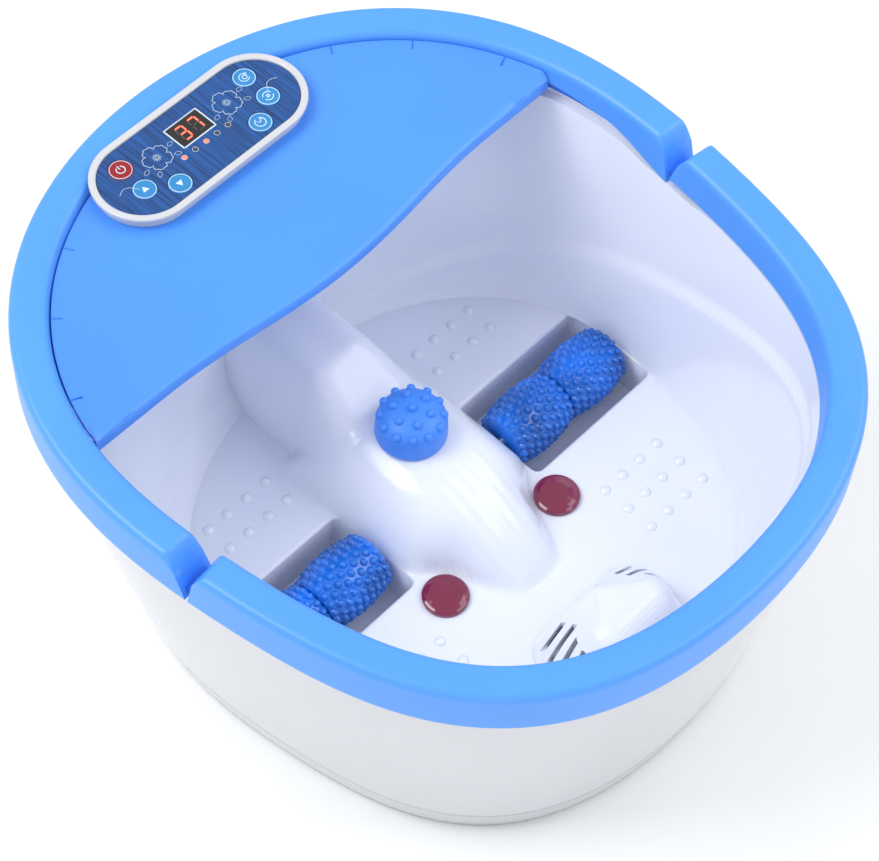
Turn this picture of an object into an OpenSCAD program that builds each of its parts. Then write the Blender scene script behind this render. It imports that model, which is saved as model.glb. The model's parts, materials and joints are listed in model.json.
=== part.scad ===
// Pedicure foot bath: a tapered white shell and basin under a blue rim, a splash deck with a key
// panel, two geared massage rollers, a bubble blower, two warming lamps and a lift-off knob.
// +X is right, +Y is the panel end, +Z is up, and the origin is on the floor under the middle.

/* [Rim] */
// Mean distance from the plan centre to the rim's outer edge
rim_r = 200; // [197:0.5:203]
// How much further the rim reaches at the panel end than at the heel end, halved
rim_egg = 31.1; // [29:0.1:33]
// How much longer than wide the rim is
rim_oval = -14.3; // [-16:0.1:-12]
// Squareness of the rim's outline
rim_square = -5; // [-6:0.1:-4]
// Height of the rim's top face above the floor
rim_top = 188; // [187.5:0.1:189]
// Width of the rim's top face
rim_w = 19.3; // [18.5:0.1:20]
// Height of the rim's outer face
rim_face = 27; // [25:0.5:29]
// Height of the rim's inner face
rim_inner_face = 21; // [19:0.5:22]
// Plan angle of the two joints between the front and rear rim pieces
split_angle = 5.8; // [5:0.1:7]
// Width of the groove at the top of each rim joint
groove_w = 13; // [8:0.5:16]

/* [Shell] */
// Width of the shell's foot as a share of the rim's width
foot_sx = 0.829; // [0.81:0.001:0.84]
// Length of the shell's foot as a share of the rim's length
foot_sy = 0.782; // [0.77:0.001:0.79]
// How far the shell's foot sits towards the heel end
foot_shift = 11.2; // [10:0.1:12]
// Wall thickness of the outer shell
shell_t = 3; // [2.5:0.1:3.5]
// Height of the step line near the shell's foot
step_z = 18; // [14:1:24]

/* [Basin] */
// Height of the basin floor
floor_z = 42; // [41:0.5:43]
// Wall thickness of the basin
basin_t = 3; // [2.6:0.1:3.2]
// Height of the mound that carries the knob, above the basin floor
mound_h = 38; // [36:0.5:40]
// Height of the ridge behind the knob, above the basin floor
ridge_h = 54; // [50:0.5:56]
// Half width of the ridge's flat top
ridge_half = 22; // [20:0.5:24]

/* [Rollers] */
// Distance of each roller well's middle from the centre line
well_x = 93; // [93:0.5:94]
// Position of the wells along the bath
well_y = -8; // [-9:0.5:-7]
// Length of a roller well across the bath
well_l = 92; // [92:0.5:93]
// Width of a roller well along the bath
well_w = 58; // [56:0.5:60]
// Height of the roller axles
axle_z = 37; // [37:0.1:37.5]
// Radius of the roller axles
axle_r = 3; // [2.8:0.1:3.2]
// Radius of the roller barrels at their middle
barrel_r = 17; // [16:0.1:17.5]
// Length of one roller barrel
barrel_l = 42; // [40:0.5:42.5]
// Height of the roller nubs
nub_h = 2.2; // [1.8:0.1:2.4]

/* [Gears] */
// Tooth size of the roller gears
gear_module = 1; // [1:0.1:1]
// Teeth of the gear on each roller axle
gear_teeth = 24; // [24:1:24]
// Teeth of each motor pinion
pinion_teeth = 12; // [12:1:12]

/* [Knob] */
// Radius of the knob at its foot
knob_r = 19.2; // [18:0.1:20]
// Height of the knob without its nubs
knob_h = 20; // [18:0.5:22]
// Position of the knob along the bath
knob_y = 12.6; // [11:0.1:14]

/* [Panel] */
// Length of the panel bezel
panel_l = 133; // [131:0.5:134]
// Width of the panel bezel
panel_w = 56; // [55:0.5:57]
// Position of the panel along the bath
panel_y = 164; // [163.5:0.1:164.5]
// Radius of the keys
key_r = 6.4; // [6:0.1:6.6]
// Travel of the keys
key_travel = 0.8; // [0.5:0.1:0.9]

/* [Hidden] */

$fn = 48;
HULL_FN = 12;          // facets of the small floor bumps
EPS = 0.01;

// Colours
RIM_BLUE = [0.38, 0.68, 0.98];
KNOB_BLUE = [0.22, 0.52, 0.93];
ROLLER_BLUE = [0.12, 0.42, 0.85];
SHELL_WHITE = [0.95, 0.96, 0.98];
LABEL_BLUE = [0.05, 0.22, 0.50];
BOARD_GREEN = [0.10, 0.40, 0.20];
STEEL = [0.72, 0.73, 0.75];

// Plan outline: a polar curve about the plan centre
PLAN_Y = -33;          // plan centre along the bath
THIRD = -1.9;          // third harmonic of the outline
RING_N = 96;           // points round a full ring of the shell
BASIN_N = 72;          // points round a full ring of the basin
function plan_r(t) = rim_r + rim_egg * sin(t) + rim_oval * cos(2 * t)
    + THIRD * sin(3 * t) + rim_square * cos(4 * t);
function plan_slope(t) = rim_egg * cos(t) - 2 * rim_oval * sin(2 * t)
    + 3 * THIRD * cos(3 * t) - 4 * rim_square * sin(4 * t);
function unit(v) = v / norm(v);
// A point of the outline moved inwards, square to the outline
function rim_pt(t, inset) =
    let (r = plan_r(t), d = plan_slope(t), n = unit([r * cos(t) + d * sin(t), r * sin(t) - d * cos(t)]))
    [r * cos(t) - inset * n[0], PLAN_Y + r * sin(t) - inset * n[1]];
// A point of the outline drawn smaller and moved along the bath
function scaled_pt(t, sx, sy, shift) =
    [sx * plan_r(t) * cos(t), PLAN_Y - shift + sy * plan_r(t) * sin(t)];
function at_z(p, z) = [p[0], p[1], z];
function mix(a, b, w) = a + (b - a) * w;
function clamp01(v) = min(1, max(0, v));
function smooth(v) = let (c = clamp01(v)) c * c * (3 - 2 * c);
function ring_angles(n) = [for (i = [0:n - 1]) 360 * i / n];

// Surface between rings of equal point count; each quad becomes two triangles
function band(i, k, n) = [for (j = [0:n - 1])
    let (a = i * n + j, b = i * n + (j + 1) % n, c = k * n + (j + 1) % n, d = k * n + j)
    each [[a, c, b], [a, d, c]]];

// A ring-shaped solid: the rings run once round its cross-section
module ring_solid(rings) {
    n = len(rings[0]);
    m = len(rings);
    polyhedron(points = [for (r = rings) each r],
               faces = [for (i = [0:m - 1]) each band(i, (i + 1) % m, n)]);
}

// A cup-shaped solid: the rings run from the middle of one face to the middle of the other
module cup_solid(rings, first, last) {
    n = len(rings[0]);
    m = len(rings);
    pts = concat([for (r = rings) each r], [first, last]);
    polyhedron(points = pts,
               faces = concat([for (i = [0:m - 2]) each band(i, i + 1, n)],
                              [for (j = [0:n - 1]) [m * n, j, (j + 1) % n]],
                              [for (j = [0:n - 1])
                                  [m * n + 1, (m - 1) * n + (j + 1) % n, (m - 1) * n + j]]));
}

// A curved bar: sections of equal point count, each an outer path then its inner path backwards
module bar_solid(sections) {
    n = len(sections[0]);
    m = len(sections);
    h = n / 2;
    function cap(base, flip) = [for (i = [0:h - 2])
        let (a = base + i, b = base + i + 1, c = base + n - 2 - i, d = base + n - 1 - i)
        each flip ? [[a, b, c], [a, c, d]] : [[a, c, b], [a, d, c]]];
    polyhedron(points = [for (s = sections) each s],
               faces = concat([for (i = [0:m - 2]) each band(i + 1, i, n)],
                              cap(0, false), cap((m - 1) * n, true)));
}

// ---------------------------------------------------------------- shell and base
SHELL_Z0 = 2;                  // foot of the shell
SHELL_TOP = rim_top - 7.6;     // top edge of the shell, inside the rim
SHELL_INSET = 3.9;             // gap between the rim's outer face and the shell
STEP_IN = 1.2;                 // depth of the step line
SHELL_FLARE_Z = rim_top - rim_face;
function shell_pt(t, z, inset) =
    let (foot = scaled_pt(t, foot_sx, foot_sy, foot_shift), head = rim_pt(t, SHELL_INSET),
         w = clamp01((z - SHELL_Z0) / (SHELL_FLARE_Z - SHELL_Z0)), p = mix(foot, head, w),
         c = [0, PLAN_Y - foot_shift * (1 - w)])
    at_z(p - inset * unit(p - c), z);
function shell_ring(z, inset) = [for (t = ring_angles(RING_N)) shell_pt(t, z, inset)];

GLAND_X = 62;
GLAND_Z = 22;
GLAND_R = 7;

module outer_shell() {
    color(SHELL_WHITE)
    difference() {
        ring_solid([
            shell_ring(SHELL_Z0, STEP_IN), shell_ring(step_z - 1, STEP_IN), shell_ring(step_z, 0),
            shell_ring(SHELL_FLARE_Z / 2, 0), shell_ring(SHELL_FLARE_Z, 0), shell_ring(SHELL_TOP, 0),
            shell_ring(SHELL_TOP, shell_t), shell_ring(SHELL_FLARE_Z, shell_t),
            shell_ring(SHELL_FLARE_Z / 2, shell_t), shell_ring(step_z, shell_t),
            shell_ring(SHELL_Z0, STEP_IN + shell_t)]);
        translate([GLAND_X, 100, GLAND_Z]) rotate([-90, 0, 0]) cylinder(r = GLAND_R, h = 80);
    }
}

BASE_T = 3;
BASE_GAP = 0.6;
FOOT_XY = [[78, 92], [84, -138]];    // rear foot, front foot
FOOT_R = 10;
SCREW_XY = [[128, 34], [122, -62], [44, -148]];
VENT_N = 5;
BLOWER = [-88, -92, 8];

module base_plate() {
    color(SHELL_WHITE)
    difference() {
        translate([0, 0, SHELL_Z0 + 1])
            linear_extrude(BASE_T)
                polygon([for (p = shell_ring(SHELL_Z0, STEP_IN + shell_t + BASE_GAP)) [p[0], p[1]]]);
        for (i = [0:VENT_N - 1])
            translate([BLOWER[0] - 12, BLOWER[1] - 15 + 6.5 * i, 0]) cube([24, 3, 10]);
        for (s = [-1, 1], q = SCREW_XY)
            translate([s * q[0], q[1], 0]) cylinder(r = 2, h = 10);
        for (s = [-1, 1], q = FOOT_XY)
            translate([s * q[0], q[1], 0]) cylinder(r = 3.1, h = 10);
    }
}

module rubber_foot(x, y) {
    color([0.25, 0.26, 0.28])
    translate([x, y, 0])
        rotate_extrude()
            polygon([[0, 0], [FOOT_R - 1.5, 0], [FOOT_R, 1], [FOOT_R, SHELL_Z0 + 1],
                     [3, SHELL_Z0 + 1], [3, SHELL_Z0 + 1 + BASE_T], [0, SHELL_Z0 + 1 + BASE_T]]);
}

module base_screws() {
    color(STEEL)
    for (s = [-1, 1], q = SCREW_XY)
        translate([s * q[0], q[1], 0]) {
            translate([0, 0, SHELL_Z0 + 0.9 - 1.8]) cylinder(r = 3.4, h = 1.9);
            translate([0, 0, SHELL_Z0 + 0.5]) cylinder(r = 1.8, h = 9);
        }
}

module cord_gland() {
    y = shell_pt(71, GLAND_Z, 0)[1];
    color([0.80, 0.82, 0.85])
    translate([GLAND_X, y - 8, GLAND_Z]) rotate([-90, 0, 0])
        difference() {
            union() {
                cylinder(r = GLAND_R - 0.4, h = 16);
                translate([0, 0, 15]) cylinder(r1 = GLAND_R + 2, r2 = GLAND_R - 1, h = 4);
                translate([0, 0, -3]) cylinder(r = GLAND_R + 2, h = 3);
            }
            translate([0, 0, -4]) cylinder(r = 3.6, h = 24);
        }
}

// ---------------------------------------------------------------- basin
BASIN_TOP = rim_top - 5;       // top of the basin's flange, inside the rim
BASIN_LEDGE = rim_top - rim_inner_face - 1.5;
BASIN_INSET = rim_w + 1.5;     // inner wall, level with the rim's inner face
REAR_PULL = 38;                // how far the wall sits in under the deck
FOOT_SX = 0.77;
FOOT_SY = 0.652;
FOOT_SHIFT = 17;
FLOOR_C = [0, -28];
COLLAR_FALL = 13;              // the collar runs lower under the deck
FLANGE_OUT = 16.5;
EAR_FALL = 3.4;                // the ledge runs lower under the rim's ears
function side_angle(t) = t < 180 ? min(t, 180 - t) : max(180 - t, t - 360);
function from_split(t) = max(0, side_angle(t));
function ear_fall(t) = EAR_FALL * (1 - smooth((abs(side_angle(t) - split_angle) - 4.5) / 7));
function rear_pull(t) = REAR_PULL * smooth((from_split(t) - 30) / 35);
function collar_fall(t) = COLLAR_FALL * smooth((from_split(t) - 26) / 12) + ear_fall(t);
function flange_out(t) = FLANGE_OUT - 5 * smooth((from_split(t) - 22) / 4);
function basin_head(t, extra) = rim_pt(t, BASIN_INSET + extra + rear_pull(t));
function basin_foot(t) = scaled_pt(t, FOOT_SX, FOOT_SY, FOOT_SHIFT);
function outward(p, d) = p + d * unit(p - [0, PLAN_Y]);
function wall_ring(w, z, out) = [for (t = ring_angles(BASIN_N))
    at_z(outward(mix(basin_head(t, 0), basin_foot(t), w), out), z - (1 - w) * collar_fall(t))];
function collar_ring(extra, z) = [for (t = ring_angles(BASIN_N))
    at_z(basin_head(t, -extra), z - collar_fall(t) + (z > BASIN_LEDGE + 3 ? ear_fall(t) : 0))];
function flange_ring(z) = [for (t = ring_angles(BASIN_N))
    at_z(basin_head(t, -flange_out(t)), z - collar_fall(t) + ear_fall(t))];

function floor_ring(s, drop) = [for (t = ring_angles(BASIN_N))
    at_z(mix(FLOOR_C, basin_foot(t), s), floor_z - drop)];

// Mound under the knob: half outline at its foot, then [share of the outline, height] upwards
MOUND_SIDE = [[0, 62], [30, 50], [47, 30], [47, -30], [29, -50], [16, -76], [0, -85]];
MOUND_MID = [0, 12];
MOUND_LEVELS = [[1, 0], [0.97, 0.32], [0.88, 0.62], [0.7, 0.88], [0.5, 1]];
function toward(p, c, w, t) = let (q = mix(c, p, w)) q - t * unit(q - c);
module mound_form(t) {
    hull()
        for (l = MOUND_LEVELS)
            translate([0, 0, floor_z + (mound_h - t) * l[1] - (l[1] == 0 ? basin_t + t : 0) - EPS])
                linear_extrude(EPS)
                    polygon(concat([for (p = MOUND_SIDE) toward(p, MOUND_MID, l[0], t)],
                                   [for (i = [5:-1:1])
                                       let (p = MOUND_SIDE[i]) toward([-p[0], p[1]], MOUND_MID, l[0], t)]));
}

// Ridge behind the knob: it climbs from the mound and ends against the rear wall
RIDGE_FOOT = 10;               // how much wider the ridge is at its foot
RIDGE_FRONT = 32;
RIDGE_RISE = 20;
module ridge_slab(half, t, y0, y1, z) {
    translate([-half + t, y0 + t, floor_z + z - t - EPS]) cube([2 * (half - t), y1 - y0 - t, EPS]);
}
module ridge_form(t) {
    hull() {
        ridge_slab(ridge_half, t, RIDGE_FRONT + RIDGE_RISE, 129.5 - t, ridge_h);
        ridge_slab(ridge_half + 3, t, RIDGE_FRONT + RIDGE_RISE - 4, 127.5 - t, ridge_h - 4);
        ridge_slab(ridge_half, t, RIDGE_FRONT, 120 - t, mound_h - 0.5);
        translate([0, 0, -basin_t])
            ridge_slab(ridge_half + RIDGE_FOOT, t, RIDGE_FRONT, 108.5 - t, 0);
    }
}

WALL_STEPS = [[0, 0], [0.24, 0.25], [0.46, 0.53], [0.7, 0.81], [0.86, 0.93], [0.95, 0.98]];
FLOOR_STEPS = [0.94, 0.5, 0.06];
function wall_z(v, drop) = mix(BASIN_LEDGE, floor_z - drop, v);

WELL_FLOOR = 15;
WELL_T = 2.5;
BOSS_R = 4;
BUMPS = [[58, 46], [80, 46], [102, 46], [58, 66], [80, 66], [60, -70], [82, -70], [104, -70],
         [60, -92], [82, -92], [104, -92]];
LENS_XY = [43, -54];
LENS_R = 12.5;
HOSE_END = [0, -117];
SOCKET_R = 11;

module floor_bump(x, y) {
    translate([x, y, floor_z - 0.5])
        hull() {
            cylinder(r = 4, h = 0.6, $fn = HULL_FN);
            cylinder(r = 2, h = 2.4, $fn = HULL_FN);
        }
}

module well_box(s, grow, z0, z1) {
    translate([s * well_x - well_l / 2 - grow, well_y - well_w / 2 - grow, z0])
        cube([well_l + 2 * grow, well_w + 2 * grow, z1 - z0]);
}

module along_x(s, x0, x1, y, z, r) {
    translate([s > 0 ? x0 : -x1, y, z]) rotate([0, 90, 0]) cylinder(r = r, h = x1 - x0);
}

SEAL_R = 4.5;
HOSE_R = 4.8;

module basin() {
    color(SHELL_WHITE)
    difference() {
        union() {
            difference() {
                cup_solid(concat(
                        [for (i = [len(FLOOR_STEPS) - 1:-1:0]) floor_ring(FLOOR_STEPS[i], basin_t)],
                        [for (i = [len(WALL_STEPS) - 1:-1:0])
                            wall_ring(WALL_STEPS[i][0], wall_z(WALL_STEPS[i][1], basin_t), basin_t)],
                        [collar_ring(7.5, BASIN_LEDGE + 2), collar_ring(7.5, BASIN_TOP - 2.4),
                         flange_ring(BASIN_TOP - 2.4), flange_ring(BASIN_TOP),
                         collar_ring(5, BASIN_TOP), collar_ring(5, BASIN_LEDGE)],
                        [for (q = WALL_STEPS) wall_ring(q[0], wall_z(q[1], 0), 0)],
                        [for (s = FLOOR_STEPS) floor_ring(s, 0)]),
                    at_z(FLOOR_C, floor_z - basin_t), at_z(FLOOR_C, floor_z));
                for (s = [-1, 1]) well_box(s, 0, WELL_FLOOR, 80);
            }
            for (s = [-1, 1]) difference() {
                well_box(s, WELL_T, WELL_FLOOR - WELL_T, floor_z - 1);
                well_box(s, 0, WELL_FLOOR, 80);
            }
            for (s = [-1, 1], q = BUMPS) floor_bump(s * q[0], q[1]);
            for (s = [-1, 1], q = SCREW_XY)
                translate([s * q[0], q[1], SHELL_Z0 + BASE_T + 1.3])
                    cylinder(r = BOSS_R, h = floor_z - basin_t - SHELL_Z0 - BASE_T - 0.8);
            mound_form(0);
            ridge_form(0);
        }
        mound_form(basin_t);
        ridge_form(basin_t);
        for (s = [-1, 1], q = SCREW_XY) translate([s * q[0], q[1], 0]) cylinder(r = 1.85, h = 20);
        for (s = [-1, 1]) {
            along_x(s, 38, 147, well_y, axle_z, SEAL_R + 0.3);
            along_x(s, 38, WELL_IN - WELL_T - 0.1, well_y, axle_z, SEAL_R + 2.4);
            translate([s * LENS_XY[0], LENS_XY[1], floor_z - 10]) cylinder(r = LENS_R + 0.4, h = 50);
        }
        translate([0, knob_y, floor_z - 5]) cylinder(r = SOCKET_R + 0.3, h = 80);
        translate([HOSE_END[0], HOSE_END[1], floor_z - 10]) cylinder(r = HOSE_R + 0.3, h = 20);
    }
}

// ---------------------------------------------------------------- rim and deck
// Cross-section of the rim, as [inset, height above the top face]: outer path, then inner path back
function rim_section(face, inner) = [
    [0.3, -face], [0, -7], [1.1, -3.2], [3.6, -0.9], [7.5, 0], [14, -0.2], [17.3, -1.4],
    [rim_w, -4.2], [rim_w + 1.5, -inner],
    [rim_w - 1.1, -inner], [rim_w - 2.8, -5.6], [15.4, -3.9], [13, -3.2], [7.5, -3.1],
    [5.2, -3.6], [4, -5], [3.1, -8], [3.1, -face]];

REAR_INNER = 11;               // inner face behind the deck
EAR = 25;                      // inner face at the ears beside the joints
EAR_ARC = 15;                  // angle that an ear takes
DECK_ANGLE = 32;               // plan angle of the deck's front corners
ARC_STEP = 3;
MM_PER_DEG = PI * rim_r / 180;
JOINT_GAP = 0.8;               // half the gap at the foot of a joint
GROOVE_REACH = 7;              // angle over which the groove's slope dies out

function rear_inner(t) = let (a = min(t, 180 - t) - split_angle)
    a > EAR_ARC ? REAR_INNER + 3 * (1 - smooth((a - EAR_ARC) / 12))
                : mix(EAR, REAR_INNER + 3, smooth(a / EAR_ARC));
// A section point at a plan angle, leaned away from the joint by its height
function rim_point(t, q, lean) =
    at_z(rim_pt(t + lean * (q[1] + rim_face) / rim_face, q[0]), rim_top + q[1]);
function arc_angles(a, b) = let (n = ceil((b - a) / ARC_STEP)) [for (i = [0:n]) mix(a, b, i / n)];

FRONT_A = split_angle - JOINT_GAP / MM_PER_DEG;
GROOVE_DEG = groove_w / MM_PER_DEG;
function front_lean(t) = let (a = min(t - (180 - FRONT_A), 360 + FRONT_A - t))
    GROOVE_DEG * (1 - smooth(a / GROOVE_REACH)) * (t < 270 ? 1 : -1);

module front_rim() {
    color(RIM_BLUE)
    bar_solid([for (t = arc_angles(180 - FRONT_A, 360 + FRONT_A))
        [for (q = rim_section(rim_face, rim_inner_face)) rim_point(t, q, front_lean(t))]]);
}

BODY_IN = 2;                   // bezel body inside its flange
module stadium(l, w, h) {
    linear_extrude(h) {
        square([l - w, w], center = true);
        for (s = [-1, 1]) translate([s * (l - w) / 2, 0]) circle(d = w, $fn = 64);
    }
}

module panel_at(z) {
    translate([0, panel_y, z]) children();
}

REAR_A = split_angle + JOINT_GAP / MM_PER_DEG;
module rear_rim() {
    color(RIM_BLUE)
    difference() {
        bar_solid([for (t = arc_angles(REAR_A, 180 - REAR_A))
            [for (q = rim_section(rim_face, rear_inner(t))) rim_point(t, q, 0)]]);
        panel_at(rim_top - 20) stadium(panel_l - 2 * BODY_IN + 0.8, panel_w - 2 * BODY_IN + 0.8, 40);
    }
}

DECK_T = 2.5;
DECK_DROP = 5;                 // deck below the rim's top face at the crease
DECK_FALL = 4;                 // further fall to the deck's front edge
DECK_LIP = 7;                  // depth of the front lip
EDGE_Y = 60;                   // front edge at the middle
EDGE_RISE = 9;                 // front edge further back at the sides
EDGE_HALF = 115;
function edge_y(x) = EDGE_Y + EDGE_RISE * (1 - cos(180 * min(1, abs(x) / EDGE_HALF))) / 2;
DECK_ROWS = [0, 0.25, 0.5, 0.75];
function deck_z(w) = rim_top - DECK_DROP - DECK_FALL * w * w;
function deck_section(t) =
    let (o = rim_pt(t, rim_w + 1.2), f = [o[0], edge_y(o[0])], back = o - [0, 2.2 * sin(t)])
    concat(
        [for (w = DECK_ROWS) at_z(mix(o, f, w), deck_z(w))],
        [at_z(f + [0, 2], deck_z(1) - 0.3), at_z(f, deck_z(1) - 2), at_z(f, deck_z(1) - DECK_LIP)],
        [at_z(f + [0, 2], deck_z(1) - DECK_LIP), at_z(f + [0, 2], deck_z(1) - 3.4),
         at_z(f + [0, 3], deck_z(1) - DECK_T - 0.3)],
        [for (i = [3:-1:0]) at_z(mix(o, f, DECK_ROWS[i]), deck_z(DECK_ROWS[i]) - DECK_T)]);

module splash_deck() {
    color(RIM_BLUE)
    difference() {
        bar_solid([for (t = arc_angles(DECK_ANGLE, 180 - DECK_ANGLE)) deck_section(t)]);
        panel_at(rim_top - 30) stadium(panel_l - 2 * BODY_IN + 0.8, panel_w - 2 * BODY_IN + 0.8, 60);
    }
}

// ---------------------------------------------------------------- control panel
BEZEL_Z = rim_top + 0.3;       // underside of the bezel's flange
BEZEL_T = 1.9;
PANEL_DEPTH = 10;
PLATE_L = panel_l - 8.6;       // faceplate
PLATE_W = panel_w - 8.6;
PLATE_Z = BEZEL_Z - 0.7;
PLATE_T = 1.6;
KEYS = [[-43.2, 12], [-43.2, -5.5], [-28.1, -15.2], [43.2, 12], [43.2, -5.5], [28.1, -15.2]];
DISPLAY = [22, 15.2];
DISPLAY_Y = 7.2;
LED_N = 5;
LED_GAP = 7.6;
LED_Y = -4.8;
LED_R = 1.2;

module panel_bezel() {
    color(SHELL_WHITE) {
        panel_at(BEZEL_Z) difference() {
            stadium(panel_l, panel_w, BEZEL_T);
            translate([0, 0, -1]) stadium(PLATE_L + 0.6, PLATE_W + 0.6, 4);
        }
        panel_at(BEZEL_Z - PANEL_DEPTH) difference() {
            stadium(panel_l - 2 * BODY_IN, panel_w - 2 * BODY_IN, PANEL_DEPTH + EPS);
            translate([0, 0, 1.2]) stadium(panel_l - 7, panel_w - 7, PANEL_DEPTH);
            translate([0, 0, -1]) stadium(panel_l - 22, panel_w - 22, 4);
        }
        panel_at(PLATE_Z - 2.4) difference() {
            stadium(panel_l - 7 + EPS, panel_w - 7 + EPS, 2.3);
            translate([0, 0, -1]) stadium(panel_l - 10, panel_w - 10, 5);
        }
    }
}

module panel_faceplate() {
    color(LABEL_BLUE)
    panel_at(PLATE_Z)
        linear_extrude(PLATE_T)
            difference() {
                union() {
                    square([PLATE_L - PLATE_W, PLATE_W], center = true);
                    for (s = [-1, 1]) translate([s * (PLATE_L - PLATE_W) / 2, 0]) circle(d = PLATE_W);
                }
                for (k = KEYS) translate(k) circle(r = key_r + 0.25);
                translate([0, DISPLAY_Y]) square(DISPLAY + [0.4, 0.4], center = true);
                for (i = [0:LED_N - 1])
                    translate([(i - (LED_N - 1) / 2) * LED_GAP, LED_Y]) circle(r = LED_R + 0.1);
            }
}

module display_window() {
    color([0.08, 0.05, 0.06])
    panel_at(PLATE_Z)
        translate([-DISPLAY[0] / 2, DISPLAY_Y - DISPLAY[1] / 2, 0]) cube([DISPLAY[0], DISPLAY[1], PLATE_T]);
}

BOARD_Z = BEZEL_Z - PANEL_DEPTH + 1.3;
BOARD_T = 1.2;
module display_module() {
    color([0.15, 0.15, 0.16])
    panel_at(BOARD_Z + BOARD_T)
        translate([-10, DISPLAY_Y - 6.8, 0]) cube([20, 13.6, PLATE_Z - BOARD_Z - BOARD_T - 0.1]);
}

module led_indicators() {
    color([0.9, 0.25, 0.2])
    panel_at(BOARD_Z + BOARD_T)
        for (i = [0:LED_N - 1])
            translate([(i - (LED_N - 1) / 2) * LED_GAP, LED_Y, 0]) {
                cylinder(r = LED_R, h = PLATE_Z + PLATE_T - BOARD_Z - BOARD_T);
                cylinder(r = LED_R + 0.4, h = 2);
            }
}

KEY_PROUD = 0.4;
KEY_FLANGE = 1;
module key(i, tint) {
    color(tint)
    panel_at(PLATE_Z) translate([KEYS[i][0], KEYS[i][1], 0])
        rotate_extrude()
            polygon([[0, -2.2], [key_r + 0.8, -2.2], [key_r + 0.8, -2.2 + KEY_FLANGE],
                     [key_r, -2.2 + KEY_FLANGE], [key_r, PLATE_T + KEY_PROUD - 0.3],
                     [key_r - 0.4, PLATE_T + KEY_PROUD], [0, PLATE_T + KEY_PROUD]]);
}

MAT_TOP = PLATE_Z - 2.2 - key_travel - 0.25;
module key_mat() {
    color([0.75, 0.76, 0.80])
    for (k = KEYS)
        panel_at(BOARD_Z + BOARD_T) translate([k[0], k[1], 0]) {
            cylinder(r = 5.2, h = 1);
            cylinder(r = 3, h = MAT_TOP - BOARD_Z - BOARD_T);
        }
}

module control_board() {
    color(BOARD_GREEN)
    panel_at(BOARD_Z) stadium(panel_l - 10, panel_w - 10, BOARD_T);
}

// Ribbon from the control board down to the main board, as a thin folded strip
MAIN_BOARD = [34, 36, 12];
STANDOFFS = [[4, 4], [72, 4], [4, 54], [72, 54]];
RIBBON_X = 46;
RIBBON_W = 14;
RIBBON_PATH = [[172, BOARD_Z], [172, 165], [150, 100], [135, 50], [124, 22], [90, MAIN_BOARD[2] + 2.1]];
RIBBON_T = 0.8;
function ribbon_side(d) = [for (i = [0:len(RIBBON_PATH) - 1])
    let (a = RIBBON_PATH[max(0, i - 1)], b = RIBBON_PATH[min(len(RIBBON_PATH) - 1, i + 1)], v = unit(b - a))
    RIBBON_PATH[i] + d * [-v[1], v[0]]];
function backwards(v) = [for (i = [len(v) - 1:-1:0]) v[i]];
module panel_ribbon() {
    color([0.55, 0.57, 0.60])
    translate([RIBBON_X - RIBBON_W, 0, 0])
        rotate([90, 0, 90])
            linear_extrude(RIBBON_W)
                polygon(concat(ribbon_side(RIBBON_T / 2), backwards(ribbon_side(-RIBBON_T / 2))));
}

module main_board() {
    translate(MAIN_BOARD) {
        color(BOARD_GREEN) difference() {
            cube([76, 58, 1.6]);
            for (p = STANDOFFS) translate([p[0], p[1], -1]) cylinder(r = 1.6, h = 4);
        }
        color([0.85, 0.75, 0.3]) translate([48, 6, 1.6]) cube([22, 20, 18]);
        color([0.2, 0.2, 0.25]) for (i = [0:2]) translate([12 + 12 * i, 34, 1.6]) cylinder(r = 4.5, h = 14);
        color([0.3, 0.3, 0.32]) translate([10, 8, 1.6]) cube([26, 10, 8]);
        color([0.9, 0.9, 0.9]) for (p = STANDOFFS)
            translate([p[0], p[1], SHELL_Z0 + 1 + BASE_T - MAIN_BOARD[2]])
                difference() {
                    cylinder(r = 3.2, h = MAIN_BOARD[2] - SHELL_Z0 - 1 - BASE_T);
                    translate([0, 0, 1]) cylinder(r = 1.2, h = 20);
                }
    }
}

// ---------------------------------------------------------------- knob
KNOB_Z = floor_z + mound_h + 0.3;
PEG_R = 8;
PEG_L = 16;
KNOB_NUB_R = 2.3;
DOME_Z = 9;                    // height of the knob's straight side
module knob_nub(tilt, turn) {
    rotate([0, 0, turn])
        translate([(knob_r - 1.2) * sin(tilt), 0, DOME_Z + (knob_h - DOME_Z) * cos(tilt) - 1.5])
            rotate([0, tilt * 0.75, 0]) {
                cylinder(r = KNOB_NUB_R, h = 3, $fn = 20);
                translate([0, 0, 3]) sphere(r = KNOB_NUB_R, $fn = 20);
            }
}

module acupressure_knob() {
    color(KNOB_BLUE)
    translate([0, knob_y, KNOB_Z]) {
        rotate_extrude() polygon(concat(
            [[0, 0], [knob_r - 0.6, 0], [knob_r, 0.8], [knob_r, 2]],
            [for (a = [0:10:90]) [(knob_r - 0.4) * cos(a), DOME_Z + (knob_h - DOME_Z) * sin(a)]]));
        translate([0, 0, -PEG_L]) cylinder(r = PEG_R, h = PEG_L + 1);
        knob_nub(0, 0);
        for (i = [0:5]) knob_nub(30, 60 * i);
        for (i = [0:11]) knob_nub(58, 30 * i + 15);
    }
}

module knob_socket() {
    color(SHELL_WHITE)
    translate([0, knob_y, KNOB_Z - PEG_L - 2.5])
        difference() {
            cylinder(r = SOCKET_R, h = PEG_L + 2.2);
            translate([0, 0, 2]) cylinder(r = PEG_R + 0.08, h = PEG_L + 2);
        }
}

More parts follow.
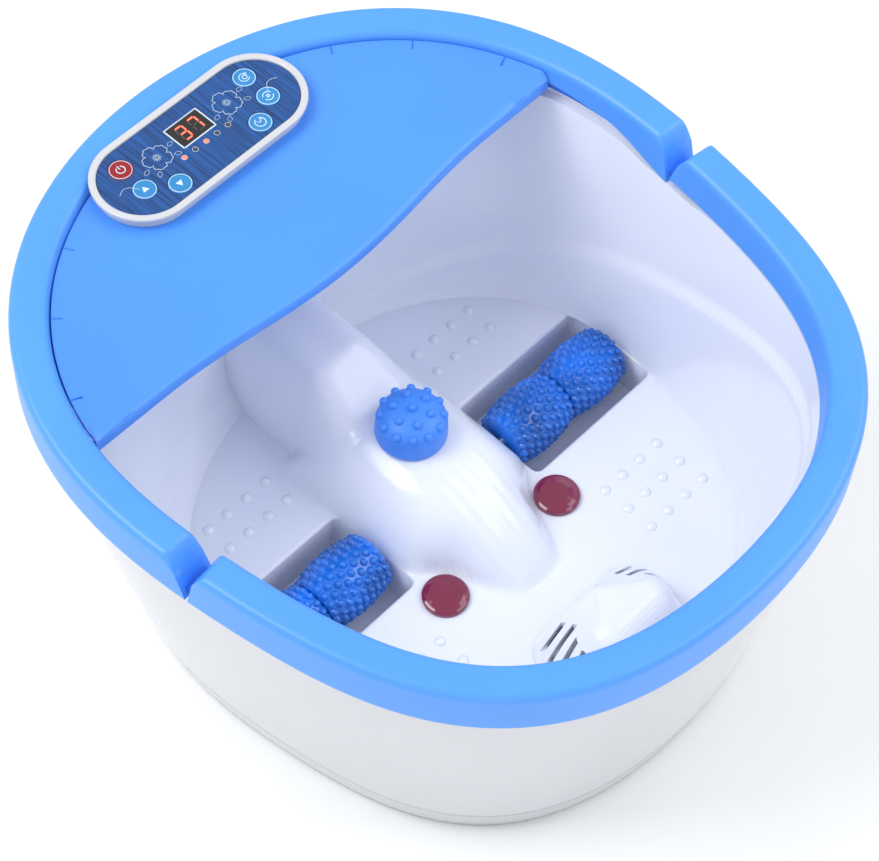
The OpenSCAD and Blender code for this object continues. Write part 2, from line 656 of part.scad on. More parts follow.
// ---------------------------------------------------------------- rollers and drive
AXLE_X0 = 33;                  // inner end, at the gear
AXLE_X1 = 142.6;               // outer end, inside the bush
BARREL_GAP = 1;
GEAR_X = 34;
GEAR_W = 6;
MOTOR_X = 4;
MOTOR_L = 26;
MOTOR_R = 12;
PRESSURE = 20;
CENTRES = gear_module * (gear_teeth + pinion_teeth) / 2 + 0.25;
PINION_Y = well_y - CENTRES;
BACKLASH = 0.18;

// Involute spur gear outline
function inv(a) = tan(a) - a * PI / 180;
function half_angle(r, rp, n) = let (rb = rp * cos(PRESSURE), q = max(r, rb * 1.0001))
    90 / n - BACKLASH / rp * 57.3 / 2 + (inv(PRESSURE) - inv(acos(rb / q))) * 180 / PI;
function gear_points(n) = let (rp = gear_module * n / 2, ro = rp + 0.8 * gear_module,
                               ri = rp - 1.15 * gear_module, steps = [0, 0.35, 0.7, 1])
    [for (i = [0:n - 1]) let (c = 360 * i / n) each concat(
        [[ri * cos(c - 180 / n), ri * sin(c - 180 / n)]],
        [for (s = steps) let (r = mix(ri, ro, s), h = half_angle(r, rp, n))
            [r * cos(c - h), r * sin(c - h)]],
        [for (k = [3:-1:0]) let (r = mix(ri, ro, steps[k]), h = half_angle(r, rp, n))
            [r * cos(c + h), r * sin(c + h)]])];

// Places its child, drawn along +Z, along +X on the right side or -X on the left side
module side_place(s, x, y, z) {
    translate([s * x, y, z]) rotate([0, s * 90, 0]) children();
}

module roller_axle(s) {
    color(STEEL)
    side_place(s, AXLE_X0, well_y, axle_z) cylinder(r = axle_r, h = AXLE_X1 - AXLE_X0);
}

WAIST = 3;                     // how much slimmer a barrel is at its ends
function barrel_radius(v) = barrel_r - WAIST * pow(abs(2 * v - 1), 2);
NUB_ROWS = 5;
NUBS = 10;

module roller_barrel(s, i) {
    x = well_x - BARREL_GAP / 2 - barrel_l + i * (barrel_l + BARREL_GAP);
    color(ROLLER_BLUE)
    side_place(s, x, well_y, axle_z) {
        rotate_extrude()
            polygon(concat([[axle_r + EPS, 0]],
                           [for (k = [0:8]) [barrel_radius(k / 8), barrel_l * k / 8]],
                           [[axle_r + EPS, barrel_l]]));
        for (k = [0:NUB_ROWS - 1], j = [0:NUBS - 1]) {
            v = (k + 0.5) / NUB_ROWS;
            rotate([0, 0, 360 * (j + 0.5 * (k % 2) + 0.2) / NUBS])
                translate([barrel_radius(v) - 1, 0, barrel_l * v])
                    rotate([0, 90, 0]) cylinder(r1 = 2.4, r2 = 1.5, h = nub_h + 1, $fn = 16);
        }
    }
}

module axle_gear(s) {
    color([0.93, 0.93, 0.90])
    side_place(s, GEAR_X, well_y, axle_z)
        difference() {
            linear_extrude(GEAR_W) rotate(7.5) polygon(gear_points(gear_teeth));
            translate([0, 0, -1]) cylinder(r = axle_r + EPS, h = GEAR_W + 2);
        }
}

module motor_pinion(s) {
    color([0.90, 0.88, 0.80])
    side_place(s, MOTOR_X + MOTOR_L - 8, PINION_Y, axle_z) {
        translate([0, 0, GEAR_X - MOTOR_X - MOTOR_L + 8 - 0.5])
            linear_extrude(GEAR_W + 1) rotate(90) polygon(gear_points(pinion_teeth));
        cylinder(r = 1.5, h = GEAR_X - MOTOR_X - MOTOR_L + 8);
    }
}

module roller_motor(s) {
    color(STEEL)
    side_place(s, MOTOR_X, PINION_Y, axle_z)
        difference() {
            union() {
                cylinder(r = MOTOR_R, h = MOTOR_L - 1.5);
                cylinder(r = 4, h = MOTOR_L);
            }
            translate([0, 0, MOTOR_L - 9]) cylinder(r = 1.56, h = 10);
        }
}

module motor_saddle(s) {
    z0 = SHELL_Z0 + 1 + BASE_T;
    color(SHELL_WHITE)
    difference() {
        translate([s > 0 ? 8 : -24, PINION_Y - 14, z0]) cube([16, 28, axle_z - 6 - z0]);
        side_place(s, 0, PINION_Y, axle_z) cylinder(r = MOTOR_R + 0.15, h = 40);
    }
}

WELL_IN = well_x - well_l / 2;
WELL_OUT = well_x + well_l / 2;
module shaft_seal(s) {
    color([0.2, 0.2, 0.22])
    side_place(s, WELL_IN - 5, well_y, axle_z)
        difference() {
            union() {
                cylinder(r = SEAL_R, h = 6.2);
                cylinder(r = SEAL_R + 2, h = 2);
            }
            translate([0, 0, -1]) cylinder(r = axle_r + 0.06, h = 10);
        }
}

module axle_bush(s) {
    color([0.92, 0.90, 0.82])
    side_place(s, WELL_OUT - 1.2, well_y, axle_z)
        difference() {
            cylinder(r = SEAL_R, h = 7.2);
            translate([0, 0, -1]) cylinder(r = axle_r + 0.06, h = 6.5);
        }
}

// ---------------------------------------------------------------- lamps, heater, bubbles
module lamp_lens(s) {
    color([0.45, 0.05, 0.12])
    translate([s * LENS_XY[0], LENS_XY[1], floor_z - 5])
        rotate_extrude() polygon(concat(
            [[0, 0], [LENS_R, 0], [LENS_R, 7]],
            [for (a = [15:15:90]) [LENS_R * cos(a), 7 + 2.6 * sin(a)]]));
}

module lamp_board(s) {
    color(BOARD_GREEN)
    translate([s * LENS_XY[0], LENS_XY[1], floor_z - 13]) {
        cylinder(r = 11, h = 1.4);
        for (a = [0:60:359]) rotate(a) translate([6, 0, 1.4]) cylinder(r = 1.6, h = 4.5);
    }
}

HOOD = [84, 52, 38];           // size of the bubble hood
HOOD_Y = -155;                 // its back, near the heel end of the basin
module hood_form(t) {
    hull() {
        translate([-HOOD[0] / 2 + 8 + t, HOOD_Y + t, -t]) cube([HOOD[0] - 16 - 2 * t, 8, 2]);
        for (s = [-1, 1])
            translate([s * (HOOD[0] / 2 - 20), HOOD_Y + HOOD[1] - 20, -t])
                cylinder(r = 20 - t, h = 2, $fn = 32);
        for (s = [-1, 1])
            translate([s * 14, HOOD_Y + 16, HOOD[2] - 14]) sphere(r = 14 - t, $fn = 32);
        translate([0, HOOD_Y + 30, HOOD[2] - 18]) sphere(r = 14 - t, $fn = 32);
    }
}

module bubble_hood() {
    color(SHELL_WHITE)
    translate([0, 0, floor_z + 0.2])
        intersection() {
            difference() {
                hood_form(0);
                hood_form(2.4);
                for (s = [-1, 1], i = [0:4])
                    translate([s * 32 - 12, HOOD_Y + 12 + 7 * i, 5]) cube([24, 3, 20]);
            }
            translate([-100, -200, 0]) cube([200, 200, 60]);
        }
}

module heater_plate() {
    color(STEEL)
    translate([-50, -104, floor_z - basin_t - 4.6]) {
        cube([100, 34, 4.4]);
        for (i = [0:6]) translate([6 + 14 * i, 2, -5]) cube([3, 30, 5 + EPS]);
    }
}

module thermostat() {
    color([0.3, 0.3, 0.32])
    translate([76, -62, floor_z - basin_t - 8.2]) {
        cylinder(r = 8, h = 8);
        translate([-1, -12, 0]) cube([2, 24, 1.2]);
    }
}

BLOWER_R = 32;
BLOWER_H = 22;
OUTLET_Y = HOSE_END[1] - BLOWER[1];
module blower_housing() {
    color([0.82, 0.84, 0.86])
    translate(BLOWER)
        difference() {
            union() {
                cylinder(r = BLOWER_R, h = BLOWER_H);
                translate([0, OUTLET_Y - 7, 4]) cube([BLOWER_R + 6, 14, 14]);
                for (a = [45:90:359]) rotate(a) translate([BLOWER_R - 4, 0, -2]) cylinder(r = 5, h = 4);
            }
            translate([0, 0, 2]) cylinder(r = BLOWER_R - 2, h = BLOWER_H);
            translate([0, 0, -3]) cylinder(r = 14, h = 8);
            translate([10, OUTLET_Y, 11]) rotate([0, 90, 0]) cylinder(r = HOSE_R + 0.1, h = 60);
        }
}

module blower_lid() {
    color([0.75, 0.77, 0.80])
    translate(BLOWER + [0, 0, BLOWER_H])
        difference() {
            cylinder(r = BLOWER_R, h = 2);
            for (a = [0:90:359]) rotate(a) translate([BLOWER_R - 6, 0, -1]) cylinder(r = 1.5, h = 4);
        }
}

BLADES = 11;
module blower_impeller() {
    color([0.25, 0.26, 0.28])
    translate(BLOWER + [0, 0, 3.5]) {
        cylinder(r = 25, h = 1.4);
        cylinder(r = 5, h = 8);
        for (i = [0:BLADES - 1])
            rotate(360 * i / BLADES) translate([14, -0.6, 1.4 - EPS]) cube([10.5, 1.2, 6]);
        cylinder(r = 1, h = 14);
    }
}

module blower_motor() {
    color(STEEL)
    translate(BLOWER + [0, 0, BLOWER_H - 9.5])
        difference() {
            cylinder(r = 11, h = 9.4);
            translate([0, 0, -1]) cylinder(r = 1.06, h = 8);
        }
}

HOSE_Z = BLOWER[2] + 11;
module hose_form(r, from_x) {
    translate([from_x, HOSE_END[1], HOSE_Z]) rotate([0, 90, 0]) cylinder(r = r, h = HOSE_END[0] - from_x);
    translate([HOSE_END[0], HOSE_END[1], HOSE_Z]) sphere(r = r);
    translate([HOSE_END[0], HOSE_END[1], HOSE_Z]) cylinder(r = r, h = floor_z + 4 - HOSE_Z);
}

module air_hose() {
    color([0.85, 0.86, 0.90])
    difference() {
        hose_form(HOSE_R, BLOWER[0] + BLOWER_R - 2);
        hose_form(3.2, BLOWER[0] + BLOWER_R - 3);
        translate([HOSE_END[0], HOSE_END[1], floor_z]) cylinder(r = 3.2, h = 10);
    }
}

// ---------------------------------------------------------------- drawing
outer_shell();
base_plate();
basin();
front_rim();
rear_rim();
splash_deck();
panel_bezel();
panel_faceplate();
display_window();
display_module();
led_indicators();
key(0, [0.65, 0.10, 0.12]);  // power_key
key(1, [0.15, 0.50, 0.80]);  // up_key
key(2, [0.15, 0.50, 0.80]);  // down_key
key(3, [0.15, 0.50, 0.80]);  // bubble_key
key(4, [0.15, 0.50, 0.80]);  // massage_key
key(5, [0.15, 0.50, 0.80]);  // timer_key
key_mat();
control_board();
panel_ribbon();
main_board();
acupressure_knob();
knob_socket();
roller_axle(-1);  // left_roller_axle
roller_axle(1);  // right_roller_axle
roller_barrel(-1, 0);  // left_inner_barrel
roller_barrel(-1, 1);  // left_outer_barrel
roller_barrel(1, 0);  // right_inner_barrel
roller_barrel(1, 1);  // right_outer_barrel
axle_gear(-1);  // left_axle_gear
axle_gear(1);  // right_axle_gear
motor_pinion(-1);  // left_motor_pinion
motor_pinion(1);  // right_motor_pinion
roller_motor(-1);  // left_motor
roller_motor(1);  // right_motor
motor_saddle(-1);  // left_motor_saddle
motor_saddle(1);  // right_motor_saddle
shaft_seal(-1);  // left_shaft_seal
shaft_seal(1);  // right_shaft_seal
axle_bush(-1);  // left_axle_bush
axle_bush(1);  // right_axle_bush
lamp_lens(-1);  // left_lamp_lens
lamp_lens(1);  // right_lamp_lens
lamp_board(-1);  // left_lamp_board
lamp_board(1);  // right_lamp_board
bubble_hood();
heater_plate();
thermostat();
blower_housing();
blower_lid();
blower_impeller();
blower_motor();
air_hose();
cord_gland();
rubber_foot(-FOOT_XY[1][0], FOOT_XY[1][1]);  // front_left_foot
rubber_foot(FOOT_XY[1][0], FOOT_XY[1][1]);  // front_right_foot
rubber_foot(-FOOT_XY[0][0], FOOT_XY[0][1]);  // rear_left_foot
rubber_foot(FOOT_XY[0][0], FOOT_XY[0][1]);  // rear_right_foot
base_screws();
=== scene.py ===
"""Pedicure foot bath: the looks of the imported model, in metres, in its own frame."""

import json
import math

import bmesh
import bpy
from mathutils import Matrix, Vector


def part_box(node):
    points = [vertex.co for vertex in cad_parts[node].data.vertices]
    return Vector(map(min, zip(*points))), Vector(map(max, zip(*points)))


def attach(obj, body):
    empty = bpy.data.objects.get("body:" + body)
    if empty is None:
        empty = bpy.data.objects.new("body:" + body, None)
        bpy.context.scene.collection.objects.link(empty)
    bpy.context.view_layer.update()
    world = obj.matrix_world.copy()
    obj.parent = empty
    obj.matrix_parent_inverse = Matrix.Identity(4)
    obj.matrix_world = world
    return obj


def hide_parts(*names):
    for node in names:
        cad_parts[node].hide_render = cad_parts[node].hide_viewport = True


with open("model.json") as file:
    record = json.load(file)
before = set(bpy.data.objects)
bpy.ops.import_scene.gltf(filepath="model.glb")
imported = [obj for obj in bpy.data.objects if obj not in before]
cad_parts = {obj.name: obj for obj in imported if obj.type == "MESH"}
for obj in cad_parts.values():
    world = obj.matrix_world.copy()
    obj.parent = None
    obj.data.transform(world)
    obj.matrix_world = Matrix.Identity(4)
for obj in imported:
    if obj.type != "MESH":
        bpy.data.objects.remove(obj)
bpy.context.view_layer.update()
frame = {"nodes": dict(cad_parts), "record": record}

MM = 0.001
TAU = 2 * math.pi


def lerp(a, b, w):
    return a + (b - a) * w


def smooth(v):
    v = min(1.0, max(0.0, v))
    return v * v * (3 - 2 * v)


# ------------------------------------------------------------------ plan outline, in millimetres
RIM_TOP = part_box("front_rim")[1].z / MM
RIM_R, RIM_EGG, RIM_OVAL, RIM_THIRD, RIM_SQUARE = 200, 31.1, -14.3, -1.9, -5
PLAN_Y = -33
RIM_W, RIM_FACE, RIM_INNER = 19.3, 27, 21
SPLIT = 5.8
GROOVE_W = 13
FLOOR_Z = 42
LEDGE_Z = RIM_TOP - RIM_INNER - 1.5


def plan_r(t):
    a = math.radians(t)
    return (RIM_R + RIM_EGG * math.sin(a) + RIM_OVAL * math.cos(2 * a)
            + RIM_THIRD * math.sin(3 * a) + RIM_SQUARE * math.cos(4 * a))


def plan_slope(t):
    a = math.radians(t)
    return (RIM_EGG * math.cos(a) - 2 * RIM_OVAL * math.sin(2 * a)
            + 3 * RIM_THIRD * math.cos(3 * a) - 4 * RIM_SQUARE * math.sin(4 * a))


def rim_pt(t, inset):
    a = math.radians(t)
    r, d = plan_r(t), plan_slope(t)
    n = Vector((r * math.cos(a) + d * math.sin(a), r * math.sin(a) - d * math.cos(a))).normalized()
    return Vector((r * math.cos(a), PLAN_Y + r * math.sin(a))) - inset * n


def scaled_pt(t, sx, sy, shift):
    a = math.radians(t)
    return Vector((sx * plan_r(t) * math.cos(a), PLAN_Y - shift + sy * plan_r(t) * math.sin(a)))


def from_split(t):
    """Degrees from the nearer rim joint's side, along the rear half only."""
    return min(t, 180 - t) if t < 180 else 0


# ------------------------------------------------------------------ mesh helpers
def fillet(points, radii, closed=True, steps=6):
    """A 2-D outline with its corners rounded."""
    out = []
    n = len(points)
    for i, (p, r) in enumerate(zip(points, radii)):
        p = Vector(p)
        if r <= 0 or (not closed and i in (0, n - 1)):
            out.append(p)
            continue
        a, b = Vector(points[i - 1]) - p, Vector(points[(i + 1) % n]) - p
        reach = min(r, 0.49 * a.length, 0.49 * b.length)
        a, b = p + a.normalized() * reach, p + b.normalized() * reach
        for k in range(steps + 1):
            w = k / steps
            out.append(a * (1 - w) ** 2 + p * 2 * w * (1 - w) + b * w * w)
    return out


def grid(rings, wrap=True, loop=False):
    """Vertices and quads over rows of equal length; wrap closes each row, loop joins last to first."""
    n = len(rings[0])
    verts = [tuple(p) for r in rings for p in r]
    faces = []
    rows = len(rings) if loop else len(rings) - 1
    for i in range(rows):
        a, b = i * n, ((i + 1) % len(rings)) * n
        for j in range(n if wrap else n - 1):
            k = (j + 1) % n
            faces.append((a + j, a + k, b + k, b + j))
    return verts, faces


def piece(name, parts, body, nodes=(), sharp=40):
    """One object from (vertices in mm, faces, material) parts; it rides on a body."""
    mesh = bpy.data.meshes.new(name)
    verts, faces, index, mats = [], [], [], []
    for v, f, m in parts:
        if m not in mats:
            mats.append(m)
        base = len(verts)
        verts += [(p[0] * MM, p[1] * MM, p[2] * MM) for p in v]
        faces += [tuple(base + i for i in q) for q in f]
        index += [mats.index(m)] * len(f)
    mesh.from_pydata(verts, [], faces)
    mesh.polygons.foreach_set("material_index", index)
    for m in mats:
        mesh.materials.append(m)
    bm = bmesh.new()
    bm.from_mesh(mesh)
    bmesh.ops.recalc_face_normals(bm, faces=bm.faces)
    bm.to_mesh(mesh)
    bm.free()
    mesh.polygons.foreach_set("use_smooth", [True] * len(mesh.polygons))
    mesh.set_sharp_from_angle(angle=math.radians(sharp))
    obj = bpy.data.objects.new(name, mesh)
    bpy.context.scene.collection.objects.link(obj)
    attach(obj, body)
    if nodes:
        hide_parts(*nodes)
    return obj


def lathe(profile, n=96):
    """Solid of revolution about +Z; the profile is [radius, height] and both ends are capped."""
    rings = [[Vector((r * math.cos(TAU * j / n), r * math.sin(TAU * j / n), z)) for j in range(n)]
             for r, z in profile]
    v, f = grid(rings)
    return v, f + [tuple(range(n)), tuple(range((len(rings) - 1) * n, len(rings) * n))]


def placed(part, matrix):
    return [matrix @ Vector(p) for p in part[0]], part[1]


def joined(parts):
    verts, faces = [], []
    for v, f in parts:
        base = len(verts)
        verts += list(v)
        faces += [tuple(base + i for i in q) for q in f]
    return verts, faces


def tube(points, r, n=6):
    """Thin round line through points, with its ends capped."""
    rings = []
    for i, p in enumerate(points):
        d = (points[min(i + 1, len(points) - 1)] - points[max(i - 1, 0)]).normalized()
        u = d.cross(Vector((0, 0, 1)))
        u = u.normalized() if u.length > 1e-6 else Vector((1, 0, 0))
        w = d.cross(u)
        rings.append([p + r * (math.cos(TAU * j / n) * u + math.sin(TAU * j / n) * w) for j in range(n)])
    v, f = grid(rings)
    return v, f + [tuple(range(n)), tuple(range((len(rings) - 1) * n, len(rings) * n))]


def spread(a, b, step):
    n = max(1, round(abs(b - a) / step))
    return [lerp(a, b, i / n) for i in range(n + 1)]


# ------------------------------------------------------------------ materials
def plastic(name, color, rough=0.3, tint=0.06, grain=900, bump=0.02, coat=0.0, soft=0.0,
            metal=0.0, brushed=False, glow=None):
    """Moulded plastic or metal: mottled colour, uneven gloss, and a fine surface from noise."""
    mat = bpy.data.materials.new(name)
    mat.use_nodes = True
    nt = mat.node_tree
    bsdf = nt.nodes["Principled BSDF"]
    where = nt.nodes.new("ShaderNodeTexCoord").outputs["Object"]
    if brushed:
        squeeze = nt.nodes.new("ShaderNodeMapping")
        squeeze.inputs["Scale"].default_value = (1, 0.02, 0.02)
        nt.links.new(where, squeeze.inputs["Vector"])
        where = squeeze.outputs["Vector"]

    def noise(scale, detail):
        node = nt.nodes.new("ShaderNodeTexNoise")
        node.inputs["Scale"].default_value = scale
        node.inputs["Detail"].default_value = detail
        nt.links.new(where, node.inputs["Vector"])
        return node.outputs["Fac"]

    broad, fine = noise(grain / 60 if not brushed else grain, 3), noise(grain, 4)
    ramp = nt.nodes.new("ShaderNodeValToRGB")
    ramp.color_ramp.elements[0].position = 0.3
    ramp.color_ramp.elements[1].position = 0.7
    ramp.color_ramp.elements[0].color = [c * (1 - tint) for c in color] + [1]
    ramp.color_ramp.elements[1].color = [min(1, c * (1 + tint)) for c in color] + [1]
    nt.links.new(broad, ramp.inputs["Fac"])
    nt.links.new(ramp.outputs["Color"], bsdf.inputs["Base Color"])
    gloss = nt.nodes.new("ShaderNodeMapRange")
    gloss.inputs["To Min"].default_value = rough * 0.8
    gloss.inputs["To Max"].default_value = min(1, rough * 1.25)
    nt.links.new(fine, gloss.inputs["Value"])
    nt.links.new(gloss.outputs["Result"], bsdf.inputs["Roughness"])
    relief = nt.nodes.new("ShaderNodeBump")
    relief.inputs["Strength"].default_value = bump
    relief.inputs["Distance"].default_value = 0.0004
    nt.links.new(fine, relief.inputs["Height"])
    nt.links.new(relief.outputs["Normal"], bsdf.inputs["Normal"])
    bsdf.inputs["Metallic"].default_value = metal
    bsdf.inputs["Coat Weight"].default_value = coat
    bsdf.inputs["Coat Roughness"].default_value = 0.08
    if soft:
        bsdf.inputs["Subsurface Weight"].default_value = soft
        bsdf.inputs["Subsurface Radius"].default_value = (0.6, 0.7, 1.0)
        bsdf.inputs["Subsurface Scale"].default_value = 0.004
    if glow:
        bsdf.inputs["Emission Color"].default_value = (*color, 1)
        bsdf.inputs["Emission Strength"].default_value = glow
    return mat


RIM = plastic("rim_satin_blue", (0.085, 0.335, 0.93), 0.36, 0.03, bump=0.05, soft=0.04)
DECK = plastic("deck_satin_blue", (0.075, 0.30, 0.93), 0.33, 0.06, 300, 0.05, soft=0.04)
# Painted shade: a darker blue than the rim. It stands in for the shade in the recessed step under the
# rear rim, in the joint grooves and in the deck's notches.
PAINTED_SHADE_BLUE = plastic("rim_painted_shade_blue", (0.02, 0.16, 0.70), 0.4, 0.06)
SHELL = plastic("shell_gloss_white", (0.61, 0.615, 0.64), 0.16, 0.015, bump=0.01, coat=0.3)
BASIN = plastic("basin_gloss_white", (0.83, 0.86, 0.95), 0.20, 0.02, bump=0.02, coat=0.2, soft=0.04)
KNOB = plastic("knob_soft_blue", (0.06, 0.27, 0.90), 0.42, 0.04, bump=0.06, soft=0.06)
ROLLER = plastic("roller_deep_blue", (0.008, 0.17, 0.72), 0.18, 0.45, 2400, 0.04, 0.6)
LABEL = plastic("label_brushed_blue", (0.006, 0.065, 0.25), 0.28, 0.55, 1500, 0.08, 0.3, brushed=True)
INK = plastic("label_ink", (0.72, 0.84, 0.95), 0.5, 0.08)
BLACK = plastic("window_black", (0.012, 0.010, 0.012), 0.1, 0.2, coat=0.5)
LIT = plastic("segment_lit", (1.0, 0.12, 0.06), 0.3, 0.05, glow=2.2)
UNLIT = plastic("segment_unlit", (0.05, 0.06, 0.055), 0.4)
POWER = plastic("power_key_red", (0.30, 0.012, 0.016), 0.35, 0.08, bump=0.06)
KEY = plastic("key_blue", (0.03, 0.24, 0.55), 0.35, 0.08, bump=0.06)
LAMP = plastic("lamp_maroon", (0.20, 0.01, 0.05), 0.12, 0.15, coat=0.6)
SLOT_MATERIALS = {
    "shell_white": SHELL, "basin_white": BASIN, "rim_blue": RIM, "label_blue": LABEL,
    "display_black": BLACK, "led_red": UNLIT, "power_red": POWER, "key_blue": KEY,
    "silicone": plastic("silicone_grey", (0.55, 0.57, 0.60), 0.6, 0.05, bump=0.1),
    "board_green": plastic("board_green", (0.02, 0.12, 0.05), 0.35, 0.3, 400),
    "ribbon_grey": plastic("ribbon_grey", (0.40, 0.42, 0.45), 0.5, 0.1),
    "knob_blue": KNOB, "roller_blue": ROLLER, "lamp_red": LAMP,
    "axle_steel": plastic("brushed_steel", (0.55, 0.56, 0.58), 0.3, 0.1, metal=1, brushed=True),
    "gear_nylon": plastic("gear_nylon", (0.78, 0.76, 0.68), 0.45, 0.05, soft=0.1),
    "inner_grey": plastic("inner_grey", (0.42, 0.44, 0.47), 0.5, 0.08, bump=0.1),
    "heater_aluminium": plastic("heater_aluminium", (0.68, 0.69, 0.71), 0.35, 0.08, metal=1),
    "foot_rubber": plastic("foot_rubber", (0.03, 0.03, 0.035), 0.75, 0.2, bump=0.2),
}
for part in frame["record"]["subparts"]:
    node = frame["nodes"][part["node"]]
    for holder in node.material_slots:
        holder.material = SLOT_MATERIALS[part["material_slot"]]
    node.data.polygons.foreach_set("use_smooth", [True] * len(node.data.polygons))
    node.data.set_sharp_from_angle(angle=math.radians(30))

# ------------------------------------------------------------------ outer shell
SHELL_Z0, SHELL_TOP, SHELL_INSET, SHELL_T = 2, RIM_TOP - 7.6, 3.9, 3
FOOT_SX, FOOT_SY, FOOT_SHIFT = 0.829, 0.782, 11.2
STEP_Z, STEP_IN = 18, 1.2
FLARE_Z = RIM_TOP - RIM_FACE
TURNS = [360 * i / 240 for i in range(240)]


def shell_pt(t, z, inset):
    w = min(1, max(0, (z - SHELL_Z0) / (FLARE_Z - SHELL_Z0)))
    p = scaled_pt(t, FOOT_SX, FOOT_SY, FOOT_SHIFT).lerp(rim_pt(t, SHELL_INSET), w)
    c = Vector((0, PLAN_Y - FOOT_SHIFT * (1 - w)))
    p = p - inset * (p - c).normalized()
    return Vector((p.x, p.y, z))


JOINT_LOW = FLARE_Z + 2
JOINT_HALF = 5.5


def side_angle(t):
    """Degrees from the bath's side, positive towards the panel."""
    return min(t, 180 - t) if t < 180 else max(180 - t, t - 360)


def joint_cut(t, z):
    """Heights are held down under a rim joint, where the groove would show them."""
    near = abs(side_angle(t) - SPLIT) / JOINT_HALF
    return min(z, lerp(JOINT_LOW, RIM_TOP, smooth((near - 1) * 2)))


shell_path = ([(SHELL_Z0, STEP_IN + 0.7), (SHELL_Z0 + 0.8, STEP_IN)]
              + [(z, STEP_IN) for z in spread(SHELL_Z0 + 3, STEP_Z - 2, 4)]
              + [(STEP_Z - 0.6, STEP_IN - 0.1), (STEP_Z, 0.5), (STEP_Z + 0.7, 0)]
              + [(z, 0) for z in spread(STEP_Z + 4, SHELL_TOP - 0.6, 16)]
              + [(SHELL_TOP, 0.6), (SHELL_TOP, SHELL_T), (STEP_Z, SHELL_T),
                 (SHELL_Z0, STEP_IN + SHELL_T)])
v, f = grid([[shell_pt(t, joint_cut(t, z), i) for t in TURNS] for z, i in shell_path], loop=True)
piece("shell_casing", [(v, f, SHELL)], "root", ["outer_shell"])

# ------------------------------------------------------------------ rims
OUTER = fillet([(0.3, -RIM_FACE), (0, 0), (10, 0.35), (RIM_W, -0.9), (RIM_W + 1.5, -RIM_INNER)],
               [0, 7, 6, 5, 0], closed=False, steps=8)


def section(inner):
    """Channel section: outer path, then the inner path back, as (inset, height above the top)."""
    drop = [Vector((p.x, min(p.y, 0) if p.y > -7 else p.y)) for p in OUTER]
    drop[-1] = Vector((RIM_W + 1.5, -inner))
    return drop + [Vector(q) for q in ((RIM_W - 1.1, -inner), (RIM_W - 2.8, -5.6), (14, -3.4),
                                       (6, -3.2), (3.1, -7), (3.1, -RIM_FACE))]


def rim_ring(t, inner, lean=0.0, bend=1.0, droop=0.0):
    """One section of a rim; near its ends it leans away from the joint and its top droops."""
    out = []
    for q in section(inner):
        share = min(1, max(0, (q.y + RIM_FACE) / RIM_FACE))
        p = rim_pt(t + lean * share ** bend, q.x)
        out.append(Vector((p.x, p.y, RIM_TOP + q.y - droop * share)))
    return out


MM_PER_DEG = math.pi * RIM_R / 180
FRONT_SHARE, FRONT_BEND, REAR_BEND = 0.5, 2.4, 1.3
GAP = 0.8 / MM_PER_DEG
GROOVE = GROOVE_W / MM_PER_DEG
GROOVE_REACH = 7
REAR_INNER, EAR, EAR_ARC = 11, 25, 15
REAR_DROOP, REAR_DROOP_ARC = 8, 2.6
FRONT_DROOP, FRONT_DROOP_ARC = 4, 1.3


def front_lean(t):
    a = min(t - (180 - SPLIT + GAP), 360 + SPLIT - GAP - t)
    return FRONT_SHARE * GROOVE * (1 - smooth(a / GROOVE_REACH)) * (1 if t < 270 else -1)


def front_droop(t):
    a = min(t - (180 - SPLIT + GAP), 360 + SPLIT - GAP - t) / FRONT_DROOP_ARC
    return FRONT_DROOP * max(0, 1 - a) ** 2


def rear_droop(t):
    a = (min(t, 180 - t) - SPLIT - GAP) / REAR_DROOP_ARC
    return REAR_DROOP * max(0, 1 - a) ** 2


def rear_lean(t):
    a = min(t, 180 - t) - SPLIT - GAP
    return (1 - FRONT_SHARE) * GROOVE * (1 - smooth(a / GROOVE_REACH)) * (1 if t < 90 else -1)


def rear_inner(t):
    a = min(t, 180 - t) - SPLIT
    if a > EAR_ARC:
        return REAR_INNER + 3 * (1 - smooth((a - EAR_ARC) / 12))
    return lerp(EAR, REAR_INNER + 3, smooth(a / EAR_ARC))


def rim(name, rings, node):
    v, f = grid(rings)
    n, m = len(rings[0]), len(rings)
    outer = len(OUTER)
    for base in (0, (m - 1) * n):
        f.append(tuple(base + i for i in range(outer)))
        f.append(tuple(base + i for i in [0] + list(range(outer - 1, n))))
    piece(name, [(v, f, RIM)], "root", [node], 50)


RIM_STEP = 0.4                 # degrees between sections
lo_t, hi_t = 180 - SPLIT + GAP, 360 + SPLIT - GAP
front = [rim_ring(t, RIM_INNER, front_lean(t), FRONT_BEND, front_droop(t))
         for t in spread(lo_t, hi_t, RIM_STEP)]
rim("front_rim_moulding", front, "front_rim")
rear = [rim_ring(t, rear_inner(t), rear_lean(t), REAR_BEND, rear_droop(t))
        for t in spread(SPLIT + GAP, 180 - SPLIT - GAP, RIM_STEP)]
rim("rear_rim_moulding", rear, "rear_rim")


def strip(t0, t1, in0, in1, z0, z1):
    """Solid curved strip between two insets and two heights below the rim's top."""
    corners = ((in0, z0), (in1, z0), (in1, z1), (in0, z1))
    rings = [[Vector((*rim_pt(t, i), RIM_TOP + z)) for i, z in corners] for t in spread(t0, t1, 0.5)]
    v, f = grid(rings)
    return v, f + [(0, 1, 2, 3), tuple(range(len(v) - 4, len(v)))]
